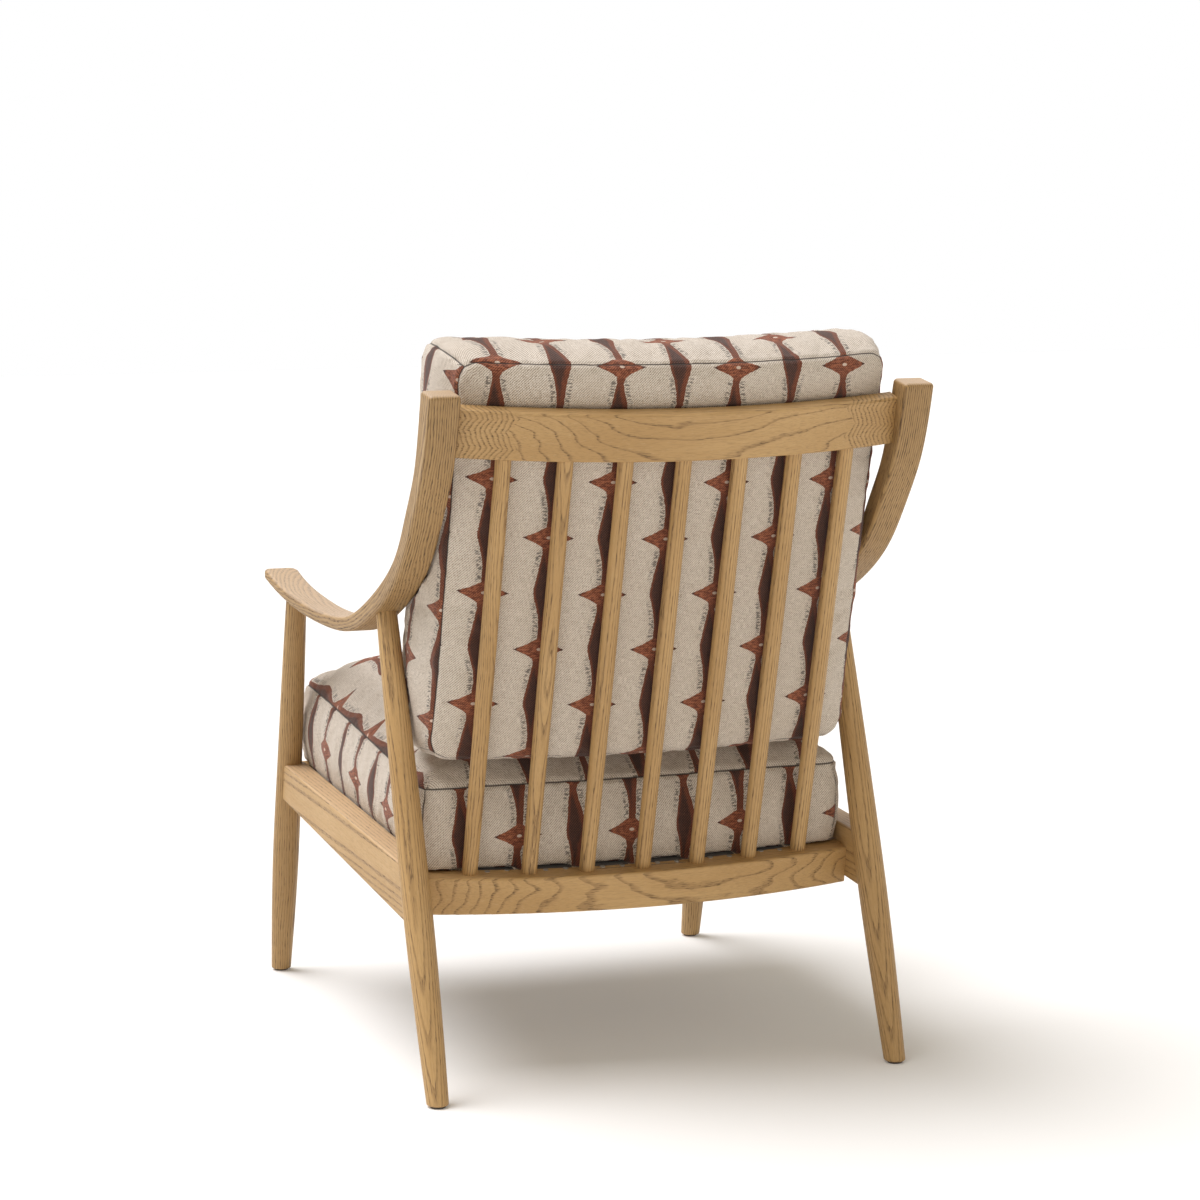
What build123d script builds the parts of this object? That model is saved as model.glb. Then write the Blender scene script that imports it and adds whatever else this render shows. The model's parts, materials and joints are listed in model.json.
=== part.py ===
from build123d import *
from math import sin, cos, tan, radians, degrees, atan2, sqrt, hypot
import os

# Low wooden armchair with a raked spindle back and two loose boxed cushions.
# Millimetres, +Z up, the chair faces -Y, X = 0 is the plane of symmetry,
# the floor is Z = 0 and the origin is under the middle of the bounding box.

os.makedirs("parts", exist_ok=True)

# ---------------------------------------------------------------- dimensions
REAR_Y = 340.54            # rear feet, centre
FRONT_Y = REAR_Y - 730.0  # front feet, centre
REAR_X = 300.0            # rear leg axis, half spacing
FRONT_X = 306.0           # front leg axis, half spacing
REAR_RAKE = 19.69         # degrees the rear leg leans forward
FRONT_RAKE = 11.50        # degrees the front leg leans back
GLIDE_T = 2.5             # foot glide thickness

ARM_IN = 280.5            # inner side of the arm and back post
POST_W = 39.0             # width of the post
ARM_W = 46.0              # width of the arm near its front end
ARM_ROUND = 5.0           # softened edges of arm and post

BACK_RAKE = 15.0          # degrees the back leans back
BOW_R = 1070.0            # radius of the bowed back rails, on the spindle line
SPINDLE_PITCH = 72.9
SPINDLE_D = 20.0
SPINDLES = 7
CREST_H = 60.0            # height of the crest rail
CREST_T = 25.0
LOW_Z = 251.0             # spindle line at the top of the lower rail
LOW_Y = REAR_Y - 105.4
BACK_LEN = 542.0          # spindle length between the two rails

LOW_H = 47.0              # lower back rail
LOW_T = 38.0
LOW_TILT = 6.0

RAIL_IN = 283.0           # side rail, inner face
RAIL_T = 34.0
FRONT_H = 48.0            # front rail
FRONT_T = 30.0
FRONT_TILT = 4.0

SEAT_TILT = 5.2           # seat cushion slope
SEAT_W = 562.0
SEAT_D = 563.0
SEAT_BOX = 104.0          # height of its side band
SEAT_CROWN = 58.0
WRAP = 12.0               # cover with the fibre wrapped round the foam
BACK_W = 544.0
BACK_T = 125.0

TENON_D = 16.0            # leg tenon into the arm
PEG_D = 8.0               # dowels


def at(dy, z):
    """A side-view point given by its distance behind the rear feet."""
    return (REAR_Y + dy, z)


def raked(x, y, rake):
    """Frame at a foot, with its Z along the leg."""
    return Plane(origin=(x, y, 0), x_dir=(1, 0, 0), z_dir=(0, sin(radians(rake)), cos(radians(rake))))


def turning(frame):
    """Plane that holds the half outline of a turned piece: X is radius, Y is along it."""
    return Plane(origin=frame.origin, x_dir=frame.x_dir, z_dir=frame.x_dir.cross(frame.z_dir))


# ------------------------------------------------------------ arm and post
# One sculpted piece on each side: the armrest sweeps up into the back post.
under_side = [at(-716, 552.0), at(-682, 545.3), at(-631, 537.3), at(-593, 532.8), at(-534, 528),
              at(-440, 525.8), at(-351, 529.5), at(-298, 538), at(-221, 563.5), at(-136, 603),
              at(-67, 653), at(-21, 708), at(15.5, 760.5), at(37, 811), at(50.5, 857)]
top_side = [at(12, 862), at(-2.5, 815), at(-20, 766), at(-54, 715.5), at(-94, 664),
            at(-156, 620.5), at(-233, 584), at(-327, 552.5), at(-400, 544.5), at(-473, 542.5),
            at(-550, 545.2), at(-640, 552.8), at(-716, 568)]

with BuildPart() as arm_blank:
    with BuildSketch(Plane.YZ.offset(ARM_IN)):
        with BuildLine():
            Spline(*under_side)
            Line(under_side[-1], top_side[0])
            Spline(*top_side)
            Line(top_side[-1], under_side[0])
        make_face()
    extrude(amount=ARM_W)
    with BuildSketch(Plane.XY.offset(500)):
        with BuildLine():
            Line((ARM_IN, REAR_Y - 740), (ARM_IN, REAR_Y + 60))
            Line((ARM_IN, REAR_Y + 60), (ARM_IN + POST_W, REAR_Y + 60))
            Line((ARM_IN + POST_W, REAR_Y + 60), (ARM_IN + POST_W, REAR_Y - 200))
            Spline((ARM_IN + POST_W, REAR_Y - 200), (ARM_IN + POST_W + 3, REAR_Y - 430),
                   (ARM_IN + ARM_W, REAR_Y - 740), tangents=((0, -1), (0, -1)))
            Line((ARM_IN + ARM_W, REAR_Y - 740), (ARM_IN, REAR_Y - 740))
        make_face()
    extrude(amount=400, mode=Mode.INTERSECT)
    nose = arm_blank.faces().sort_by(Axis.Y)[0]
    fillet(nose.edges().filter_by(Axis.Z), 13)

with BuildPart() as arm_shape:
    add(arm_blank.part)
    fillet(arm_shape.edges(), ARM_ROUND)

# ---------------------------------------------------------------- the legs
# Round tapered legs, fullest where the rails meet them. Outline points are
# (radius, distance along the leg from the floor).
rear_outline = [(13.4, 0), (15.2, 60), (17.0, 140), (18.0, 210), (17.8, 290), (16.6, 400),
                (14.6, 520), (13.0, 612)]
front_outline = [(13.2, 0), (15.4, 60), (17.2, 130), (17.8, 190), (17.0, 290), (15.9, 400),
                 (13.5, 556)]


def leg_blank(foot, outline):
    """Turned leg, cut level above its glide, with a softened foot."""
    with BuildPart() as blank:
        with BuildSketch(turning(foot)):
            with BuildLine():
                Line((0, -12), (outline[0][0] - 0.3, -12))
                Line((outline[0][0] - 0.3, -12), outline[0])
                Spline(*outline)
                Line(outline[-1], (0, outline[-1][1]))
                Line((0, outline[-1][1]), (0, -12))
            make_face()
        revolve(axis=Axis(foot.origin, foot.z_dir))
        split(bisect_by=Plane.XY.offset(GLIDE_T), keep=Keep.TOP)
        fillet(blank.faces().sort_by(Axis.Z)[0].edges(), 2.2)
    return blank.part


rear_foot = raked(REAR_X, REAR_Y, -REAR_RAKE)
front_foot = raked(FRONT_X, FRONT_Y, FRONT_RAKE)
rear_blank = leg_blank(rear_foot, rear_outline)
front_blank = leg_blank(front_foot, front_outline)
REAR_SHOULDER = 604.0     # where the legs meet the arm, along the leg
FRONT_SHOULDER = 545.0

# --------------------------------------------------------------- side rails
# Tenoned between the round legs; they taper toward the front.
leg_y_at = {"rear": lambda z: REAR_Y - z * tan(radians(REAR_RAKE)),
            "front": lambda z: FRONT_Y + z * tan(radians(FRONT_RAKE))}
RAIL_X = RAIL_IN + RAIL_T / 2
rear_mid = leg_y_at["rear"](245)
front_mid = leg_y_at["front"](278)
rail_top = [at(-668.3, 303.5), at(-99.5, 278.8)]
rail_low = [at(-75.2, 210.0), at(-678.4, 253.5)]

with BuildPart() as side_core:
    with BuildSketch(Plane.YZ.offset(RAIL_IN)):
        with BuildLine():
            Polyline(*rail_top, *rail_low, rail_top[0])
        make_face()
    extrude(amount=RAIL_T)
    fillet(side_core.edges().filter_by(Axis.X, reverse=True).filter_by(Axis.Z, reverse=True)
           .filter_by(lambda e: e.length > 100), 3.5)

with BuildPart() as side_tenons:
    with Locations((RAIL_X, rear_mid - 22, 245)):
        Box(12, 30, 34)
    with Locations((RAIL_X, front_mid + 22, 278)):
        Box(12, 30, 26)

# --------------------------------------------------------------- front rail
front_frame = Plane(origin=(0, leg_y_at["front"](277), 277),
                    x_dir=(1, 0, 0), z_dir=(0, sin(radians(FRONT_TILT)), cos(radians(FRONT_TILT))))
with BuildPart() as front_core:
    with BuildSketch(front_frame.offset(-FRONT_H / 2)):
        Rectangle(2 * FRONT_X, FRONT_T)
    extrude(amount=FRONT_H)
    fillet(front_core.edges().filter_by(Axis.X), 3.5)

with BuildPart() as front_tenons:
    for side in (-1, 1):
        with Locations((side * (FRONT_X - 22), front_frame.origin.Y, 277)):
            Box(30, 12, 26)

# ---------------------------------------------------------- bowed back rails
# Both rails and the spindles follow one bow, leaning with the back.

def bow(frame, radius, half, thickness, height, ease):
    """Bowed bar: an arc of the given centre radius in the frame's XY, grown along its Z."""
    inner = radius - thickness / 2
    outer = radius + thickness / 2

    def back(x, r):
        return sqrt(r * r - x * x) - radius

    with BuildPart() as bar:
        with BuildSketch(frame):
            with BuildLine():
                ThreePointArc((-half, back(half, outer)), (0, back(0, outer)), (half, back(half, outer)))
                Line((half, back(half, outer)), (half, back(half, inner)))
                ThreePointArc((half, back(half, inner)), (0, back(0, inner)), (-half, back(half, inner)))
                Line((-half, back(half, inner)), (-half, back(half, outer)))
            make_face()
        extrude(amount=height)
        if ease:
            fillet(bar.edges().filter_by(lambda e: e.length > half), ease)
    return bar.part


back_dir = Vector(0, sin(radians(BACK_RAKE)), cos(radians(BACK_RAKE)))
low_point = Vector(0, LOW_Y, LOW_Z)
high_point = low_point + back_dir * BACK_LEN
back_frame = Plane(origin=high_point, x_dir=(1, 0, 0), z_dir=back_dir)
low_frame = Plane(origin=low_point + Vector(0, 3.5, 0), x_dir=(1, 0, 0),
                  z_dir=(0, sin(radians(LOW_TILT)), cos(radians(LOW_TILT))))

crest_core = bow(back_frame, BOW_R, ARM_IN, CREST_T, CREST_H, 3.5)
low_core = bow(low_frame.offset(-LOW_H), BOW_R, RAIL_IN, LOW_T, LOW_H, 3.5)

# ----------------------------------------------------------------- spindles
SPINDLE_TENON_D = 12.0
SPINDLE_TENON = 14.0
SPINDLE_X = [(i - (SPINDLES - 1) / 2) * SPINDLE_PITCH for i in range(SPINDLES)]


def spindle_frame(x):
    """Frame at a spindle's foot: on the bow, with Z up the back."""
    drop = BOW_R - sqrt(BOW_R ** 2 - x * x)
    foot = low_point - back_frame.y_dir * drop
    return Plane(origin=(x, foot.Y, foot.Z), x_dir=(1, 0, 0), z_dir=back_dir)


def spindle_body(x):
    """Turned spindle, a little fuller in the middle, longer than its space."""
    frame = spindle_frame(x)
    r = SPINDLE_D / 2
    with BuildPart() as body:
        with BuildSketch(turning(frame)):
            with BuildLine():
                Line((0, -10), (r - 0.3, -10))
                Line((r - 0.3, -10), (r - 0.3, 0))
                Spline((r - 0.3, 0), (r + 0.4, BACK_LEN / 2), (r - 0.2, BACK_LEN),
                       tangents=((0, 1), (0, 1)))
                Line((r - 0.2, BACK_LEN), (0, BACK_LEN))
                Line((0, BACK_LEN), (0, -10))
            make_face()
        revolve(axis=Axis(frame.origin, frame.z_dir))
    return body.part


def spindle_tenons(x):
    """Round tenons at both ends of a spindle."""
    frame = spindle_frame(x)
    with BuildPart() as pegs:
        with Locations(frame.offset(-4)):
            Cylinder(SPINDLE_TENON_D / 2, 28)
        with Locations(frame.offset(BACK_LEN)):
            Cylinder(SPINDLE_TENON_D / 2, 2 * SPINDLE_TENON)
    return pegs.part


spindle_solids = []
spindle_pegs = []
for x in SPINDLE_X:
    spindle_solids.append(spindle_body(x))
    spindle_pegs.append(spindle_tenons(x))

# ------------------------------------------------------------ seat webbing
# Six straps run back to front, each ending between two spindles in a ledge of
# the lower rail; two more run across below them in slots of the side rails.
STRAP_W = 46.0
STRAP_T = 1.8
STRAP_X = [(i - 2.5) * SPINDLE_PITCH for i in range(6)]
CROSS_AT = [-285, -480]
strap_back = Vector(0, REAR_Y - 120.9, 251)
strap_front = Vector(0, REAR_Y - 672, 299.3)
strap_run = strap_back - strap_front
strap_slope = degrees(atan2(-strap_run.Z, strap_run.Y))
strap_frame = Plane(origin=strap_front, x_dir=(1, 0, 0),
                    z_dir=(0, sin(radians(strap_slope)), cos(radians(strap_slope))))


def long_strap(x):
    """Webbing strap from the front rail to the bowed lower rail."""
    drop = BOW_R - sqrt(BOW_R ** 2 - x * x)
    length = strap_run.length + 13 - drop
    with BuildPart() as strap:
        with Locations(strap_frame.location * Location((x, length / 2, STRAP_T / 2))):
            Box(STRAP_W, length, STRAP_T)
    return strap.part


def tack(frame):
    """Round-headed tack, head down on the frame's XY."""
    with BuildPart() as nail:
        with Locations(frame):
            Cylinder(3.5, 0.9, align=(Align.CENTER, Align.CENTER, Align.MIN))
            Cylinder(0.9, 9, align=(Align.CENTER, Align.CENTER, Align.MAX))
    return nail.part


long_straps = []
tack_solids = []
for x in STRAP_X:
    strap = long_strap(x)
    end = strap_run.length + 13 - (BOW_R - sqrt(BOW_R ** 2 - x * x))
    for y in (6.5, end - 6.5):
        for dx in (-13, 13):
            tack_solids.append(tack(Plane(strap_frame.location * Location((x + dx, y, STRAP_T)))))
    long_straps.append(strap)

cross_straps = []
for y in CROSS_AT:
    run = (REAR_Y + y - strap_front.Y) / cos(radians(strap_slope))
    with BuildPart() as strap:
        with Locations(strap_frame.location * Location((0, run, -STRAP_T / 2 - 0.2))):
            Box(2 * (RAIL_IN + 11), STRAP_W, STRAP_T)
    cross_straps.append(strap.part)

# ------------------------------------------------------------ corner blocks
BLOCK_H = 30.0
BLOCK_LEG = 58.0


def corner_block(y, z, back, turn):
    """Glue block in the corner of two rails; back is +1 toward the rear, -1 toward the front."""
    with BuildPart() as block:
        with BuildSketch(Plane(origin=(RAIL_IN, y - back, z), x_dir=(1, 0, 0))):
            with BuildLine():
                Polyline((0, 0), (-BLOCK_LEG, 0), (-BLOCK_LEG, back * 14), (-14, back * BLOCK_LEG),
                         (0, back * BLOCK_LEG), (0, 0))
            make_face()
        extrude(amount=BLOCK_H)
    return block.part.rotate(Axis((RAIL_IN, y, z), (0, 0, 1)), turn)


def block_screw(head, direction):
    """Countersunk-style wood screw: head centre and the way it drives."""
    with BuildPart() as screw:
        with Locations(Plane(origin=head, z_dir=direction)):
            Cylinder(4.2, 3, align=(Align.CENTER, Align.CENTER, Align.MIN))
            Cylinder(2.0, 42, align=(Align.CENTER, Align.CENTER, Align.MIN))
    return screw.part


def screw_pocket(head, direction):
    """Room that lets a screw and its driver into a block."""
    with BuildPart() as pocket:
        with Locations(Plane(origin=head, z_dir=direction)):
            Cylinder(4.6, 60, align=(Align.CENTER, Align.CENTER, Align.MAX))
            Cylinder(4.2, 3, align=(Align.CENTER, Align.CENTER, Align.MIN))
            Cylinder(2.0, 42, align=(Align.CENTER, Align.CENTER, Align.MIN))
    return pocket.part


front_corner = REAR_Y - 658.0
rear_corner = REAR_Y - 154.0
screw_specs = {
    "front": [((RAIL_IN - 24, front_corner + 34, 263), (1, 0, 0)),
              ((RAIL_IN - 36, front_corner + 22, 277), (0, -1, 0))],
    "rear": [((RAIL_IN - 24, rear_corner - 34, 222), (1, 0, 0)),
             ((RAIL_IN - 36, rear_corner - 22, 236), (0, 1, 0))]}

with BuildPart() as front_block:
    add(corner_block(front_corner, 255, 1, 0))
    add(side_core.part, mode=Mode.SUBTRACT)
    add(front_core.part, mode=Mode.SUBTRACT)
    for spec in screw_specs["front"]:
        add(screw_pocket(*spec), mode=Mode.SUBTRACT)

with BuildPart() as rear_block:
    add(corner_block(rear_corner + 12, 214, -1, 0))
    add(side_core.part, mode=Mode.SUBTRACT)
    add(low_core, mode=Mode.SUBTRACT)
    for spec in screw_specs["rear"]:
        add(screw_pocket(*spec), mode=Mode.SUBTRACT)

# ----------------------------------------------------------- dowels, glides
end_drop = BOW_R - sqrt(BOW_R ** 2 - ARM_IN ** 2)
low_drop = BOW_R - sqrt(BOW_R ** 2 - RAIL_IN ** 2)


def cross_dowel(point):
    """Dowel lying along X, its middle at the given point."""
    with BuildPart() as dowel:
        with Locations(Plane(origin=point, z_dir=(1, 0, 0))):
            Cylinder(PEG_D / 2, 34)
    return dowel.part


crest_pins = []
for t in (16, CREST_H - 16):
    crest_pins.append(cross_dowel(back_frame.origin + back_frame.z_dir * t - back_frame.y_dir * end_drop
                                  + Vector(ARM_IN, 0, 0)))
low_pins = []
for t in (-13, 13 - LOW_H):
    low_pins.append(cross_dowel(low_frame.origin + low_frame.z_dir * t - low_frame.y_dir * low_drop
                                + Vector(RAIL_IN, 0, 0)))


def foot_glide(x, y):
    """Round glide under a foot, with the pin that holds it."""
    with BuildPart() as glide:
        with Locations((x, y, 0)):
            Cylinder(9.5, GLIDE_T, align=(Align.CENTER, Align.CENTER, Align.MIN))
        fillet(glide.edges().sort_by(Axis.Z)[0], 0.8)
        with Locations((x, y, GLIDE_T)):
            Cylinder(1.5, 12, align=(Align.CENTER, Align.CENTER, Align.MIN))
    return glide.part


front_glide = foot_glide(FRONT_X, FRONT_Y)
rear_glide = foot_glide(REAR_X, REAR_Y)

# ------------------------------------------------------ finished wood pieces
with BuildPart() as rear_tenon:
    with Locations(rear_foot.offset(REAR_SHOULDER - 8)):
        Cylinder(TENON_D / 2, 20, align=(Align.CENTER, Align.CENTER, Align.MIN))

with BuildPart() as front_tenon:
    with Locations(front_foot.offset(FRONT_SHOULDER - 10)):
        Cylinder(TENON_D / 2, 20, align=(Align.CENTER, Align.CENTER, Align.MIN))

with BuildPart() as left_arm:
    add(arm_shape.part)
    add(rear_tenon.part, mode=Mode.SUBTRACT)
    add(front_tenon.part, mode=Mode.SUBTRACT)
    for pin in crest_pins:
        add(pin, mode=Mode.SUBTRACT)

with BuildPart() as left_rear_leg:
    add(rear_blank)
    add(arm_shape.part, mode=Mode.SUBTRACT)
    add(rear_tenon.part)
    add(side_tenons.part, mode=Mode.SUBTRACT)
    add(rear_glide, mode=Mode.SUBTRACT)

with BuildPart() as left_front_leg:
    add(front_blank)
    add(arm_shape.part, mode=Mode.SUBTRACT)
    add(front_tenon.part)
    add(side_tenons.part, mode=Mode.SUBTRACT)
    add(front_tenons.part, mode=Mode.SUBTRACT)
    add(front_glide, mode=Mode.SUBTRACT)

with BuildPart() as left_side_rail:
    add(side_core.part)
    add(rear_blank, mode=Mode.SUBTRACT)
    add(front_blank, mode=Mode.SUBTRACT)
    add(front_core.part, mode=Mode.SUBTRACT)
    add(side_tenons.part)
    for strap in cross_straps:
        add(strap, mode=Mode.SUBTRACT)
    for pin in low_pins:
        add(pin, mode=Mode.SUBTRACT)
    for spec in screw_specs["front"] + screw_specs["rear"]:
        add(block_screw(*spec), mode=Mode.SUBTRACT)

with BuildPart() as front_rail:
    add(front_core.part)
    add(side_tenons.part, mode=Mode.SUBTRACT)
    add(side_tenons.part.mirror(Plane.YZ), mode=Mode.SUBTRACT)
    add(front_blank, mode=Mode.SUBTRACT)
    add(front_blank.mirror(Plane.YZ), mode=Mode.SUBTRACT)
    add(front_tenons.part)
    for strap in long_straps:
        add(strap, mode=Mode.SUBTRACT)
    for nail in tack_solids:
        add(nail, mode=Mode.SUBTRACT)
    for spec in screw_specs["front"]:
        add(block_screw(*spec), mode=Mode.SUBTRACT)
        add(block_screw(*spec).mirror(Plane.YZ), mode=Mode.SUBTRACT)

with BuildPart() as crest_rail:
    add(crest_core)
    for peg in spindle_pegs:
        add(peg, mode=Mode.SUBTRACT)
    for pin in crest_pins:
        add(pin, mode=Mode.SUBTRACT)
        add(pin.mirror(Plane.YZ), mode=Mode.SUBTRACT)

with BuildPart() as lower_rail:
    add(low_core)
    for peg in spindle_pegs:
        add(peg, mode=Mode.SUBTRACT)
    for pin in low_pins:
        add(pin, mode=Mode.SUBTRACT)
        add(pin.mirror(Plane.YZ), mode=Mode.SUBTRACT)
    for strap in long_straps:
        add(strap, mode=Mode.SUBTRACT)
    for nail in tack_solids:
        add(nail, mode=Mode.SUBTRACT)
    for spec in screw_specs["rear"]:
        add(block_screw(*spec), mode=Mode.SUBTRACT)
        add(block_screw(*spec).mirror(Plane.YZ), mode=Mode.SUBTRACT)

# ---------------------------------------------------------------- cushions
seat_frame = Plane(origin=(0, REAR_Y - 139, 257.0), x_dir=(1, 0, 0),
                   z_dir=(0, sin(radians(SEAT_TILT)), cos(radians(SEAT_TILT))))
UNDER_BACK = 142.0        # seat cushion height where the back cushion stands on it


with BuildPart() as seat_shape:
    half = SEAT_W / 2
    band = SEAT_BOX
    top = SEAT_BOX + SEAT_CROWN
    with BuildSketch(seat_frame):
        with Locations((0, -SEAT_D / 2)):
            RectangleRounded(SEAT_W, SEAT_D, 30)
    extrude(amount=top)
    with BuildSketch(Plane(origin=seat_frame.origin, x_dir=seat_frame.y_dir, z_dir=seat_frame.x_dir)):
        with BuildLine():
            Line((0, band), (0, 0))
            Line((0, 0), (-SEAT_D, 0))
            Line((-SEAT_D, 0), (-SEAT_D, band))
            Spline((-SEAT_D, band), (36 - SEAT_D, band + 36), (-430, top - 3), (-300, top - 1),
                   (-150, UNDER_BACK - 1), (-70, UNDER_BACK - 14), (0, band))
        make_face()
    extrude(amount=SEAT_W, both=True, mode=Mode.INTERSECT)
    with BuildSketch(Plane(origin=seat_frame.origin, x_dir=seat_frame.x_dir, z_dir=-seat_frame.y_dir)):
        with BuildLine():
            Polyline((-half, band), (-half, 0), (half, 0), (half, band))
            Spline((half, band), (half - 42, band + 34), (0, top), (42 - half, band + 34), (-half, band))
        make_face()
    extrude(amount=2 * SEAT_D, both=True, mode=Mode.INTERSECT)

back_top = Plane(origin=(0, REAR_Y + 45, 891), x_dir=(1, 0, 0),
                 z_dir=(0, sin(radians(8)), cos(radians(8))))


def back_solid(inset):
    """Boxed back cushion, bent to the bow of the spindles and cut along the seat; or its core."""
    front_gap = CREST_T / 2 + 0.9 + BACK_T / 2
    radius = BOW_R - front_gap
    start = low_point + back_dir * 90 - back_frame.y_dir * front_gap
    frame = Plane(origin=start, x_dir=(1, 0, 0), z_dir=back_dir)
    slab = bow(frame, radius, BACK_W / 2 - inset, BACK_T - 2 * inset, 650, 0)
    with BuildPart() as cushion:
        add(slab)
        split(bisect_by=seat_frame.offset(UNDER_BACK + 1.2 + inset), keep=Keep.TOP)
        split(bisect_by=back_top.offset(-inset), keep=Keep.BOTTOM)
        if inset == 0:
            upright = cushion.edges().filter_by(lambda e: abs((e @ 1 - e @ 0).Z) > BACK_T * 2)
            fillet(upright, 13)
            level = cushion.edges().filter_by(lambda e: abs((e @ 1 - e @ 0).Z) < BACK_T * 2)
            fillet(level, 13)
    return cushion.part


with BuildPart() as seat_core:
    with BuildSketch(seat_frame.offset(WRAP)):
        with Locations((0, -SEAT_D / 2)):
            RectangleRounded(SEAT_W - 2 * WRAP, SEAT_D - 2 * WRAP, 18)
    extrude(amount=SEAT_BOX - 4 - WRAP)

with BuildPart() as seat_cover:
    add(seat_shape.part)
    add(seat_core.part, mode=Mode.SUBTRACT)

with BuildPart() as back_core:
    add(back_solid(WRAP))

with BuildPart() as back_cover:
    add(back_solid(0))
    add(back_core.part, mode=Mode.SUBTRACT)

# ------------------------------------------------------------------- export
pieces = {
    "crest_rail": crest_rail.part,
    "lower_back_rail": lower_rail.part,
    "front_rail": front_rail.part,
    "seat_cushion_cover": seat_cover.part,
    "seat_cushion_core": seat_core.part,
    "back_cushion_cover": back_cover.part,
    "back_cushion_core": back_core.part,
}

for side, flip in (("left", False), ("right", True)):
    for name, solid in (("arm_post", left_arm.part), ("rear_leg", left_rear_leg.part),
                        ("front_leg", left_front_leg.part), ("side_rail", left_side_rail.part),
                        ("front_corner_block", front_block.part), ("rear_corner_block", rear_block.part)):
        pieces[f"{side}_{name}"] = solid.mirror(Plane.YZ) if flip else solid

for i in range(SPINDLES):
    with BuildPart() as spindle:
        add(spindle_solids[i])
        add(crest_core, mode=Mode.SUBTRACT)
        add(low_core, mode=Mode.SUBTRACT)
        add(spindle_pegs[i])
    pieces[f"spindle_{i + 1}"] = spindle.part

for i in range(len(STRAP_X)):
    with BuildPart() as strap:
        add(long_straps[i])
        for nail in tack_solids:
            add(nail, mode=Mode.SUBTRACT)
    pieces[f"webbing_strap_{i + 1}"] = strap.part

for i in range(len(CROSS_AT)):
    pieces[f"webbing_cross_{i + 1}"] = cross_straps[i]

all_screws = []
for corner in screw_specs.values():
    for spec in corner:
        all_screws.append(block_screw(*spec))
        all_screws.append(block_screw(*spec).mirror(Plane.YZ))

groups = {
    "crest_dowels": crest_pins + [p.mirror(Plane.YZ) for p in crest_pins],
    "lower_rail_dowels": low_pins + [p.mirror(Plane.YZ) for p in low_pins],
    "foot_glides": [front_glide, front_glide.mirror(Plane.YZ), rear_glide, rear_glide.mirror(Plane.YZ)],
    "webbing_tacks": tack_solids,
    "block_screws": all_screws,
}
for name, solids in groups.items():
    with BuildPart() as group:
        for solid in solids:
            add(solid)
    pieces[name] = group.part

for name, solid in pieces.items():
    solid.label = name
    export_step(solid, f"parts/{name}.step")
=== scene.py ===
import bpy
import json
import math
import numpy as np
from mathutils import Matrix, Vector, noise
from mathutils.bvhtree import BVHTree


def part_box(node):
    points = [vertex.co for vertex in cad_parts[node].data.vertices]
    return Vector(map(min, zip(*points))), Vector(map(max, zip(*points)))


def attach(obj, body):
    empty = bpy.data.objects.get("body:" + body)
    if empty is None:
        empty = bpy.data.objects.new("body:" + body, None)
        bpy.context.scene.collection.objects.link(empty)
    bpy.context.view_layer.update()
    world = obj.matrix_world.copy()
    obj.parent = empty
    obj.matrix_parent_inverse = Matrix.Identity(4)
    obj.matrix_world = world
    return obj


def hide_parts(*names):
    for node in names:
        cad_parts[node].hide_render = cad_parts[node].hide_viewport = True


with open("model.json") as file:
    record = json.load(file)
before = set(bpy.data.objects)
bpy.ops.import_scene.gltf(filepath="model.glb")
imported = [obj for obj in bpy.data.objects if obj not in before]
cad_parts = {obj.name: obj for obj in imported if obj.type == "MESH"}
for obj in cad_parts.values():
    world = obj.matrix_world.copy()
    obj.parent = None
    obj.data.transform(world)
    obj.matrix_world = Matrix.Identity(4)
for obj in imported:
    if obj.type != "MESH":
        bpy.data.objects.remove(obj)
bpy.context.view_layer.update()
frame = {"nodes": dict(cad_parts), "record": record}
nodes = frame["nodes"]
feet = {m["name"]: m["pos_m"] for m in frame["record"]["mounts"]}
REAR = feet["foot_rear_left"][1]


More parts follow.
